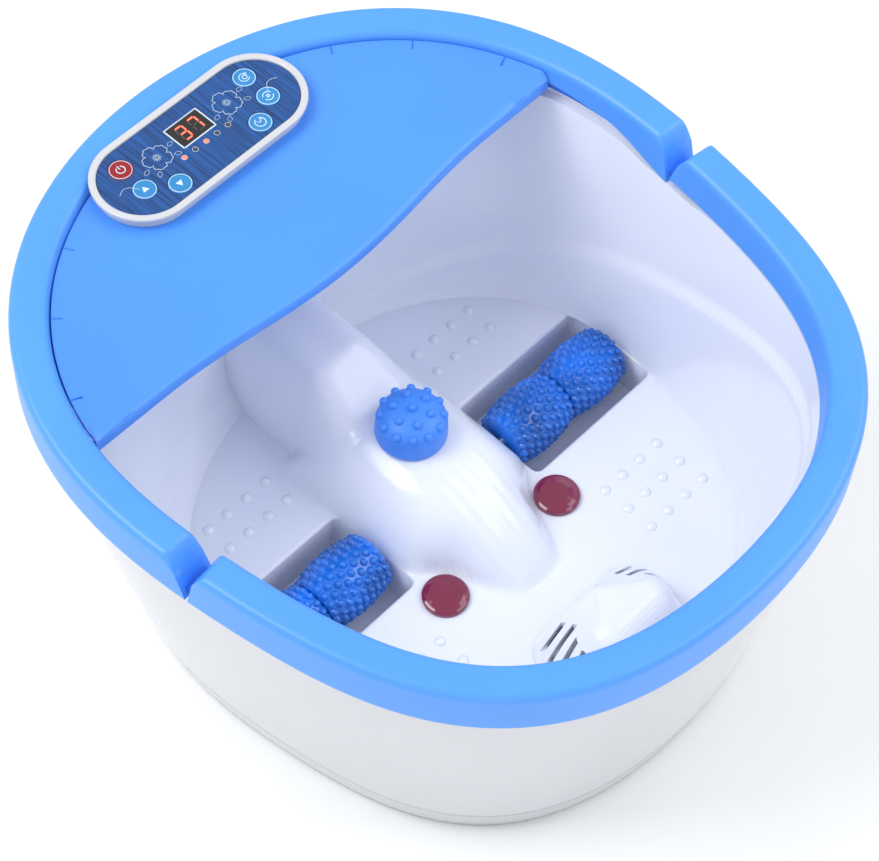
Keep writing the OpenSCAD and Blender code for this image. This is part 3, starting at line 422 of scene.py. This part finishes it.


# Strips in painted shade. Pads close the bottom of each joint groove, and steps under the rear rim's
# inner lip stand in for the shade in that recess.
PAD_INSETS, PAD_HEIGHTS = (3.4, 17.6), (-23, -21)
STEP_ARC, STEP_INSETS, STEP_HEIGHTS = (17, 36), (17.4, 19.2), (-16.5, -9)
pads = [strip(mid - GROOVE, mid + GROOVE, *PAD_INSETS, *PAD_HEIGHTS) for mid in (SPLIT, 180 - SPLIT)]
steps = [strip(t0, t1, *STEP_INSETS, *STEP_HEIGHTS)
         for t0, t1 in (STEP_ARC, (180 - STEP_ARC[1], 180 - STEP_ARC[0]))]
piece("rim_joint_pads_painted_shade", [(*joined(pads + steps), PAINTED_SHADE_BLUE)], "root", sharp=50)

# ------------------------------------------------------------------ splash deck
DECK_ANGLE, DECK_DROP, DECK_FALL, DECK_LIP = 32, 5, 4, 7
EDGE_Y, EDGE_RISE, EDGE_HALF = 60, 9, 115


def edge_y(x):
    return EDGE_Y + EDGE_RISE * (1 - math.cos(math.pi * min(1, abs(x) / EDGE_HALF))) / 2


DECK_T = 2.5


def deck_ring(t):
    """One section of the deck, from the rim to its front edge, round the lip and back."""
    o = rim_pt(t, RIM_W + 1.2)
    f = Vector((o.x, edge_y(o.x)))
    top = RIM_TOP - DECK_DROP
    run = [(w, top - DECK_FALL * w * w) for w in spread(0, 0.97, 0.06)]
    pts = [Vector((*o.lerp(f, w), z)) for w, z in run]
    low = top - DECK_FALL
    lip = [(1.4, -0.25), (0.5, -0.8), (0.1, -1.8), (0, -3.5), (0.1, -DECK_LIP), (1.8, -DECK_LIP),
           (2, -3.6), (4, -2.9)]
    pts += [Vector((f.x, f.y + dy, low + dz)) for dy, dz in lip]
    return pts + [p - Vector((0, 0, DECK_T)) for p in reversed(pts[:len(run) - 1])]


deck = [deck_ring(t) for t in spread(DECK_ANGLE, 180 - DECK_ANGLE, 0.8)]
v, f = grid(deck)
n = len(deck[0])
f += [tuple(range(n)), tuple(range((len(deck) - 1) * n, len(deck) * n))]
piece("splash_deck_moulding", [(v, f, DECK)], "root", ["splash_deck"], 50)

# Tick marks are thin tubes in painted shade, standing in for the shade in small notches at the deck's
# crease.
TICKS = (38, 52, 64)
TICK_IN = (RIM_W + 1.6, RIM_W + 7)
TICK_R = 0.45
ticks = []
for t in [a for q in TICKS for a in (q, 180 - q)]:
    ends = [Vector((*rim_pt(t, i), RIM_TOP - DECK_DROP - 0.1)) for i in TICK_IN]
    ticks.append(tube(ends, TICK_R))
piece("deck_tick_marks", [(*joined(ticks), PAINTED_SHADE_BLUE)], "root", sharp=60)

# ------------------------------------------------------------------ basin
BASIN_INSET, REAR_PULL, COLLAR_FALL = RIM_W + 1.5, 38, 13
BASIN_SX, BASIN_SY, BASIN_SHIFT = 0.77, 0.652, 17
BASIN_T = 3
COLLAR_IN, COLLAR_OUT, COLLAR_TOP = 5, 7.5, RIM_TOP - 8
WALL = [(0, 0), (0.24, 0.25), (0.46, 0.53), (0.7, 0.81), (0.86, 0.93), (0.95, 0.98), (1, 1)]


def basin_foot(t):
    return scaled_pt(t, BASIN_SX, BASIN_SY, BASIN_SHIFT)


def wall_curve(u):
    """The wall's (share inwards, share down) at u from 0 to 1, smoothed through WALL."""
    s = u * (len(WALL) - 1)
    i = min(int(s), len(WALL) - 2)
    p = [Vector(WALL[max(0, min(len(WALL) - 1, i + k))]) for k in (-1, 0, 1, 2)]
    w = s - i
    return 0.5 * (2 * p[1] + (p[2] - p[0]) * w + (2 * p[0] - 5 * p[1] + 4 * p[2] - p[3]) * w ** 2
                  + (3 * p[1] - p[0] - 3 * p[2] + p[3]) * w ** 3)


EAR_FALL = 3.4
SHOULDER_Z, SHOULDER_SLOPE, SHOULDER_IN, SHOULDER_SOFT = 91, 0.357, 2.6, 5


def fall(t):
    return (COLLAR_FALL * smooth((from_split(t) - 30) / 12)
            + EAR_FALL * (1 - smooth((abs(side_angle(t) - SPLIT) - 4.5) / 7)))


def shoulder(y, z):
    """How far the wall stands in below the sloping shoulder line."""
    line = SHOULDER_Z - SHOULDER_SLOPE * y
    return SHOULDER_IN * (1 - smooth((z - line) / SHOULDER_SOFT))


def pull(t):
    """How far the rear wall stands in under the deck."""
    return REAR_PULL * smooth((from_split(t) - 30) / 35)


def wall_pt(t, u, out=0.0):
    w, d = wall_curve(u)
    p = rim_pt(t, BASIN_INSET + pull(t)).lerp(basin_foot(t), w)
    z = lerp(LEDGE_Z, FLOOR_Z, d) - (1 - w) * fall(t)
    p = p + (out - shoulder(p.y, z)) * (p - Vector((0, PLAN_Y))).normalized()
    return Vector((p.x, p.y, z))


def collar_pt(t, inset, z):
    p = rim_pt(t, BASIN_INSET - inset + pull(t))
    top = z - 4 * smooth((from_split(t) - 32) / 6) if z > LEDGE_Z + 3 else z - fall(t)
    return Vector((p.x, p.y, joint_cut(t, top)))


rings = [[wall_pt(t, u) for t in TURNS] for u in spread(1, 0, 0.015)]
rings += [[collar_pt(t, i, z) for t in TURNS]
          for i, z in ((COLLAR_IN, LEDGE_Z), (COLLAR_IN, COLLAR_TOP), (COLLAR_OUT, COLLAR_TOP),
                       (COLLAR_OUT, LEDGE_Z - BASIN_T))]
rings += [[wall_pt(t, u, BASIN_T) for t in TURNS] for u in spread(0.08, 0.96, 0.08)]
wall = grid(rings)

MOUND_H, RIDGE_H, RIDGE_HALF, MOUND_HALF = 38, 54, 25, 47
KNOB_R, KNOB_H, KNOB_Y, DOME_Z = 19.2, 20, 12.6, 9
WELL_X, WELL_Y, WELL_L, WELL_W, WELL_FLOOR, WELL_CORNER = 93, -8, 92, 58, 15, 5
RIB_H, RIB_PITCH = 0.7, 7.2


def mound(x, y):
    """Height of the knob's mound above the floor, with fine ribs along its front slope."""
    if y < -5:
        along = 1 - min(1, (-5 - y) / 80) ** 1.7
    else:
        along = 1 - min(1, max(0, (y - 27) / 38)) ** 2
    half = MOUND_HALF - 18 * smooth((-24 - y) / 28) - 12 * smooth((-48 - y) / 36)
    ribs = (RIB_H * max(0, math.cos(TAU * x / RIB_PITCH)) * smooth((-10 - y) / 8) * smooth((y + 78) / 16)
            * smooth((23 - abs(x)) / 4))
    return MOUND_H * along * (1 - min(1, abs(x) / half) ** 3.2) + ribs


def ridge(x, y):
    """Height of the ridge that climbs from the mound to the rear wall."""
    top = lerp(MOUND_H - 0.4, RIDGE_H, smooth((y - 31) / 38))
    reach = lerp(40, 35, smooth((y - 31) / 40))
    return top * smooth((y - 12) / 18) * (1 - min(1, abs(x) / reach) ** 4.5)


def blend_up(a, b, soft=5.0):
    """The greater of two heights, with the corner between them eased."""
    h = min(1, max(0, 0.5 + 0.5 * (a - b) / soft))
    return lerp(b, a, h) + 0.5 * soft * h * (1 - h) * min(1, min(a, b) / 12)


def well_depth(x, y):
    """Distance inside the nearer well's rounded outline, in mm; negative outside it."""
    dx = abs(abs(x) - WELL_X) - (WELL_L / 2 - WELL_CORNER)
    dy = abs(y - WELL_Y) - (WELL_W / 2 - WELL_CORNER)
    out = math.hypot(max(dx, 0), max(dy, 0)) + min(max(dx, dy), 0)
    return WELL_CORNER - out


def floor_height(x, y):
    d = well_depth(x, y)
    if d > 0.9:
        return WELL_FLOOR
    up = max(0, blend_up(mound(x, y), ridge(x, y)) if abs(y - KNOB_Y) > KNOB_R else mound(x, y))
    if d > 0:
        return lerp(FLOOR_Z - 1.2, WELL_FLOOR, smooth(d / 0.9))
    return FLOOR_Z + up - 1.2 * max(0, 1 + d / 2.2) ** 2


def lines(lo, hi, step, edges):
    """Grid lines from lo to hi, closer together beside the wells' edges."""
    values = spread(lo, hi, step)
    values += [e + s * k for e in edges for s in (-1, 1) for k in (0, 0.45, 0.9, 2.2)]
    values = sorted(values)
    return [a for i, a in enumerate(values) if i == 0 or a - values[i - 1] > 0.12]


FLOOR_STEP = 1.8
cols = lines(-152, 152, FLOOR_STEP, [s * (WELL_X + e * WELL_L / 2) for s in (-1, 1) for e in (-1, 1)])
rows = lines(-168, 131, FLOOR_STEP, [WELL_Y + e * WELL_W / 2 for e in (-1, 1)])


def inside_foot(x, y, spare):
    p = Vector((x / BASIN_SX, (y - PLAN_Y + BASIN_SHIFT) / BASIN_SY))
    t = math.degrees(math.atan2(p.y, p.x)) % 360
    return p.length < plan_r(t) + spare


verts = [(x, y, floor_height(x, y)) for y in rows for x in cols]
faces = []
for i in range(len(rows) - 1):
    for j in range(len(cols) - 1):
        cx, cy = (cols[j] + cols[j + 1]) / 2, (rows[i] + rows[i + 1]) / 2
        if inside_foot(cx, cy, 2) or (cy > 60 and abs(cx) < RIDGE_HALF + 10 and ridge(cx, cy) > 1):
            a = i * len(cols) + j
            faces.append((a, a + 1, a + len(cols) + 1, a + len(cols)))
used = sorted({k for q in faces for k in q})
slim = {k: i for i, k in enumerate(used)}
floor = ([verts[k] for k in used], [tuple(slim[k] for k in q) for q in faces])

BUMP = lathe([(0.1, 1.5), (1.0, 1.35), (1.9, 0.95), (2.6, 0.45), (3.1, 0), (3.1, -1)], 20)
BUMP_XY = [(x, y) for y in (46, 62) for x in (58, 72, 86, 100)] + [
    (x, y) for y in (-70, -86, -102) for x in (64, 78, 92, 106)]
bumps = joined([placed(BUMP, Matrix.Translation((s * x, y, FLOOR_Z))) for s in (-1, 1) for x, y in BUMP_XY
                if inside_foot(s * x, y, -14)])
piece("basin_liner", [(*wall, BASIN), (*floor, BASIN), (*bumps, BASIN)], "root", ["basin"],
      60)

# ------------------------------------------------------------------ knob and rollers
KNOB_Z = FLOOR_Z + MOUND_H + 0.3
profile = [(0.1, 0), (KNOB_R - 1, 0), (KNOB_R - 0.2, 0.4), (KNOB_R, 1.2), (KNOB_R, 3),
           (KNOB_R - 0.2, DOME_Z - 2)]
profile += [((KNOB_R - 0.4) * math.cos(a) ** 0.8 + 0.1, DOME_Z + (KNOB_H - DOME_Z) * math.sin(a))
            for a in spread(0, math.pi / 2 - 0.01, 0.12)]
NUB_R = 2.3
NUB = lathe([(NUB_R + 0.6, -0.4), (NUB_R + 0.2, 0.3), (NUB_R, 1.1), (NUB_R * 0.97, 2.0),
             (NUB_R * 0.8, 2.9), (NUB_R * 0.45, 3.4), (0.1, 3.55)], 20)
PEG_R, PEG_L = 8, 16


def knob_nub(tilt, turn):
    a = math.radians(tilt)
    r = (KNOB_R - 1.6) * math.sin(a)
    z = DOME_Z + (KNOB_H - DOME_Z) * math.cos(a) ** 0.9 - 0.6
    return (Matrix.Rotation(math.radians(turn), 4, "Z") @ Matrix.Translation((r, 0, z))
            @ Matrix.Rotation(math.radians(tilt * 0.75), 4, "Y"))


spots = [(0, 0)] + [(32, 60 * i) for i in range(6)] + [(62, 30 * i + 15) for i in range(12)]
knob = joined([lathe(profile)] + [placed(NUB, knob_nub(*s)) for s in spots]
              + [lathe([(PEG_R, -PEG_L), (PEG_R, 0.5)], 48)])
piece("knob_moulding", [(*placed(knob, Matrix.Translation((0, KNOB_Y, KNOB_Z))), KNOB)], "knob",
      ["acupressure_knob"], 50)

BARREL_ROWS, BARREL_NUBS = 9, 18
BARREL_NUB = lathe([(2.7, -0.6), (2.1, 0.1), (1.8, 0.9), (1.45, 1.6), (0.8, 2.05), (0.1, 2.15)], 14)


BARREL_R, BARREL_TAPER, BARREL_BORE, BARREL_EDGE = 17, 3, 3.1, 0.8


def barrel_r(v):
    return BARREL_R - BARREL_TAPER * abs(2 * v - 1) ** 2


for side, s in (("left", -1), ("right", 1)):
    for place in ("inner", "outer"):
        node = f"{side}_{place}_barrel"
        lo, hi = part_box(node)
        x0, length = lo.x / MM, (hi.x - lo.x) / MM
        core = [(BARREL_BORE, 0), (barrel_r(0) - BARREL_EDGE, 0)]
        core += [(barrel_r(v), length * v) for v in spread(0.02, 0.98, 0.06)]
        core += [(barrel_r(1) - BARREL_EDGE, length), (BARREL_BORE, length)]
        parts = [lathe(core, 72)]
        for k in range(BARREL_ROWS):
            v = (k + 0.5) / BARREL_ROWS
            for j in range(BARREL_NUBS):
                turn = TAU * (j + 0.5 * (k % 2)) / BARREL_NUBS
                parts.append(placed(BARREL_NUB, Matrix.Rotation(turn, 4, "Z")
                             @ Matrix.Translation((barrel_r(v), 0, length * v))
                             @ Matrix.Rotation(math.pi / 2, 4, "Y")))
        axle_lo, axle_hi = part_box(f"{side}_roller_axle")
        mid = (axle_lo + axle_hi) / 2 / MM
        to_x = Matrix.Translation((x0, mid.y, mid.z)) @ Matrix.Rotation(math.pi / 2, 4, "Y")
        piece(f"{node}_moulding", [(*placed(joined(parts), to_x), ROLLER)], f"{side}_roller", [node],
              50)

# ------------------------------------------------------------------ panel
PANEL_Y = 164
bezel_lo, bezel_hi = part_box("panel_bezel")
BEZEL_TOP = bezel_hi.z / MM
PANEL_L, PANEL_W = (bezel_hi.x - bezel_lo.x) / MM, (bezel_hi.y - bezel_lo.y) / MM
PLATE_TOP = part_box("panel_faceplate")[1].z / MM


def stadium(length, width, n=32):
    r, half = width / 2, (length - width) / 2
    pts = []
    for s, start in ((1, -math.pi / 2), (-1, math.pi / 2)):
        turns = [start + math.pi * i / n for i in range(n + 1)]
        pts += [Vector((s * half + r * math.cos(a), r * math.sin(a))) for a in turns]
    return pts


def panel_ring(inset, z):
    return [Vector((p.x, PANEL_Y + p.y, z)) for p in stadium(PANEL_L - 2 * inset, PANEL_W - 2 * inset)]


BEZEL_W, BEZEL_WALL, BEZEL_FOOT, BEZEL_REST = 4, 2.2, BEZEL_TOP - 11, BEZEL_TOP - 1.9
BEZEL_PATH = fillet([(0, BEZEL_REST), (0, BEZEL_TOP), (BEZEL_W, BEZEL_TOP), (BEZEL_W, BEZEL_FOOT)],
                    [0, 1.5, 1.2, 0], closed=False)
bezel = grid([panel_ring(p.x, p.y) for p in BEZEL_PATH]
             + [panel_ring(BEZEL_WALL, BEZEL_FOOT), panel_ring(BEZEL_WALL, BEZEL_REST)], loop=True)
piece("bezel_moulding", [(*bezel, SHELL)], "root", ["panel_bezel"], 50)


def on_plate(x, y, up=0.06):
    return Vector((x, PANEL_Y + y, PLATE_TOP + up))


def arc(x, y, r, a0, a1, up=0.06, step=12):
    return [on_plate(x + r * math.cos(math.radians(a)), y + r * math.sin(math.radians(a)), up)
            for a in spread(a0, a1, step)]


LINE_R, FINE_R = 0.16, 0.1
art = []
for fx, fy, size in ((-25, 5, 8), (25, 6.2, 8)):
    outline = []
    for a in range(0, 361, 4):
        lobe = size * (0.72 + 0.28 * abs(math.sin(math.radians(2.5 * a + 20))) ** 0.5
                       + 0.03 * math.sin(math.radians(15 * a)))
        c, s_ = math.cos(math.radians(a)), math.sin(math.radians(a))
        outline.append(on_plate(fx + lobe * c, fy + lobe * s_))
    art.append(tube(outline, LINE_R))
    for a in range(0, 360, 24):
        c, s_ = math.cos(math.radians(a)), math.sin(math.radians(a))
        art.append(tube([on_plate(fx + k * c, fy + k * s_) for k in (0.7, 2.4)], FINE_R))
    for a in (200, 235, 330, 10):
        c, s_ = math.cos(math.radians(a)), math.sin(math.radians(a))
        leaf = [on_plate(fx + (size + 1 + 4 * k) * c - 1.2 * math.sin(math.pi * k) * s_ * q,
                         fy + (size + 1 + 4 * k) * s_ + 1.2 * math.sin(math.pi * k) * c * q)
                for q in (1, -1) for k in (spread(0, 1, 0.2) if q > 0 else spread(1, 0, 0.2))]
        art.append(tube(leaf, FINE_R))
for sx, turn in ((-1, 1), (1, -1)):
    stem = [on_plate(sx * (55 - 10 * k), -6 * turn * sx * math.sin(2.4 * k) - 8 * k)
            for k in spread(0, 1, 0.08)]
    art.append(tube(stem, 0.12))
LED_Y, LED_GAP = -4.8, 7.6
for i in range(5):
    art.append(tube(arc((i - 2) * LED_GAP, LED_Y, 1.5, 0, 360), 0.13))
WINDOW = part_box("display_window")
w_lo, w_hi = WINDOW[0] / MM, WINDOW[1] / MM
frame_line = [Vector((x, y, PLATE_TOP + 0.05)) for x, y in
              ((w_lo.x, w_lo.y), (w_hi.x, w_lo.y), (w_hi.x, w_hi.y), (w_lo.x, w_hi.y), (w_lo.x, w_lo.y))]
art += [tube([a, b], 0.4) for a, b in zip(frame_line, frame_line[1:])]
piece("label_artwork", [(*joined(art), INK)], "root", sharp=60)

SEGMENTS = {"a": (0, 1, 1, 1), "b": (1, 0.5, 1, 1), "c": (1, 0, 1, 0.5), "d": (0, 0, 1, 0),
            "e": (0, 0, 0, 0.5), "f": (0, 0.5, 0, 1), "g": (0, 0.5, 1, 0.5)}
LIT_SEGMENTS = ("abgcd", "abc")
DIGIT_W, DIGIT_H = 4.6, 9
on, off = [], []
for i, lit in enumerate(LIT_SEGMENTS):
    cx, cy = (w_lo.x + w_hi.x) / 2 + (i - 0.5) * 8.6, (w_lo.y + w_hi.y) / 2
    for key, (x0, y0, x1, y1) in SEGMENTS.items():
        a = Vector((cx + (x0 - 0.5) * DIGIT_W, cy + (y0 - 0.5) * DIGIT_H, PLATE_TOP + 0.02))
        b = Vector((cx + (x1 - 0.5) * DIGIT_W, cy + (y1 - 0.5) * DIGIT_H, PLATE_TOP + 0.02))
        d = (b - a).normalized() * 0.55
        (on if key in lit else off).append(tube([a + d, b - d], 0.42, 8))
LED_DISC = lathe([(0.1, 0.12), (1.0, 0.1), (1.15, 0), (1.15, -0.5)], 24)
for i in range(5):
    (on if i in (0, 2) else off).append(
        placed(LED_DISC, Matrix.Translation(on_plate((i - 2) * LED_GAP, LED_Y, 0.02))))
piece("display_segments", [(*joined(on), LIT), (*joined(off), UNLIT)], "root", sharp=60)

# ------------------------------------------------------------------ keys
KEY_SPOTS = {"power": (-43.2, 12), "up": (-43.2, -5.5), "down": (-28.1, -15.2),
             "bubble": (43.2, 12), "massage": (43.2, -5.5), "timer": (28.1, -15.2)}


def icon(name, x, y, up):
    """Line drawing on one key's face."""
    if name == "power":
        stroke = [on_plate(x, y + 0.3, up), on_plate(x, y + 3, up)]
        return [tube(arc(x, y, 2.3, 120, 420, up), 0.28), tube(stroke, 0.28)]
    if name in ("up", "down"):
        s = 1 if name == "up" else -1
        tip = on_plate(x, y + 2 * s, up)
        a, b = on_plate(x - 1.9, y - 1.4 * s, up), on_plate(x + 1.9, y - 1.4 * s, up)
        low = Vector((0, 0, 0.2))
        return [([tip, a, b, tip - low, a - low, b - low],
                 [(0, 1, 2), (3, 5, 4), (0, 3, 4, 1), (1, 4, 5, 2), (2, 5, 3, 0)])]
    if name == "bubble":
        return [tube(arc(x, y, 2.7, 40, 330, up), 0.22), tube(arc(x + 0.4, y, 1.3, 0, 360, up), 0.22),
                tube(arc(x + 2.1, y + 1.5, 0.6, 0, 360, up), 0.18)]
    if name == "massage":
        return [tube(arc(x, y, 2.8, 20, 160, up), 0.25), tube(arc(x, y, 2.8, 200, 340, up), 0.25),
                tube(arc(x, y, 1.0, 45, 405, up, 90), 0.35)]
    hands = [on_plate(x - 1.4, y + 1.3, up), on_plate(x, y - 0.2, up), on_plate(x + 2, y + 2, up)]
    return [tube(arc(x, y, 2.9, 110, 430, up), 0.26), tube(hands, 0.26)]


KEY_R, KEY_SKIRT = 6.4, 0.8
for name, (x, y) in KEY_SPOTS.items():
    node = f"{name}_key"
    lo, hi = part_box(node)
    top, foot = hi.z / MM, lo.z / MM
    r, skirt = KEY_R, KEY_R + KEY_SKIRT
    cap = lathe([(0.1, foot), (skirt, foot), (skirt, foot + 1), (r, foot + 1), (r, top - 0.55),
                 (r - 0.15, top - 0.35), (r - 0.6, top - 0.25), (r * 0.5, top - 0.32),
                 (0.1, top - 0.35)], 64)
    up = top - PLATE_TOP - 0.3
    art = [tube(arc(x, y, 5.75, 0, 360, up, 6), 0.2)] + icon(name, x, y, up)
    material, slot = (POWER, "power_red") if name == "power" else (KEY, "key_blue")
    piece(f"{node}_cap", [(*placed(cap, Matrix.Translation((x, PANEL_Y + y, 0))), material),
                          (*joined(art), INK)], node, [node], 50)

# ------------------------------------------------------------------ floor, camera and light
FLOOR_HALF = 6.0
floor_mesh = bpy.data.meshes.new("studio_floor")
corners = [(x * FLOOR_HALF, y * FLOOR_HALF, 0) for x, y in ((-1, -1), (1, -1), (1, 1), (-1, 1))]
floor_mesh.from_pydata(corners, [], [(0, 1, 2, 3)])
ground = bpy.data.objects.new("studio_floor", floor_mesh)
ground.data.materials.append(plastic("studio_paper", (0.95, 0.95, 0.95), 0.7, 0.01))
bpy.context.scene.collection.objects.link(ground)

AZIMUTH, ELEVATION, ROLL = (math.radians(a) for a in (-49.9393, 55.9116, 3.70546))
DISTANCE = 1300
FOCAL_SHARE = 3.0843068259385666   # focal length as a share of the picture's width
SLIDE = (22.4429, 33.6428)
SENSOR = 36
right = Vector((math.cos(AZIMUTH), math.sin(AZIMUTH), 0))
back = Vector((math.sin(AZIMUTH) * math.cos(ELEVATION), -math.cos(AZIMUTH) * math.cos(ELEVATION),
               math.sin(ELEVATION)))
up = back.cross(right)
turned_right = math.cos(ROLL) * right + math.sin(ROLL) * up
turned_up = back.cross(turned_right)
place = (Vector((0, PLAN_Y, RIM_TOP)) - SLIDE[0] * turned_right - SLIDE[1] * turned_up
         + DISTANCE * back) * MM
lens = bpy.data.cameras.new("camera")
lens.sensor_width = SENSOR
lens.lens = FOCAL_SHARE * SENSOR
camera = bpy.data.objects.new("camera", lens)
facing = Matrix((turned_right, turned_up, back)).transposed().to_4x4()
camera.matrix_world = Matrix.Translation(place) @ facing
bpy.context.scene.collection.objects.link(camera)
bpy.context.scene.camera = camera


def lamp(name, spot, size, power, target=(0, 0, 0.1)):
    data = bpy.data.lights.new(name, "AREA")
    data.energy, data.size = power, size
    obj = bpy.data.objects.new(name, data)
    obj.location = spot
    obj.rotation_euler = (Vector(target) - Vector(spot)).to_track_quat("-Z", "Y").to_euler()
    bpy.context.scene.collection.objects.link(obj)


lamp("key_light", (-1.0, 0.9, 1.9), 1.2, 27)
lamp("fill_light", (1.2, -0.9, 1.5), 1.6, 16)
lamp("front_light", (-1.3, -1.4, 0.9), 1.4, 3.5)
world = bpy.data.worlds.new("studio")
world.use_nodes = True
world.node_tree.nodes["Background"].inputs["Color"].default_value = (0.93, 0.96, 1, 1)
world.node_tree.nodes["Background"].inputs["Strength"].default_value = 0.72
bpy.context.scene.world = world
bpy.context.scene.view_settings.view_transform = "Standard"
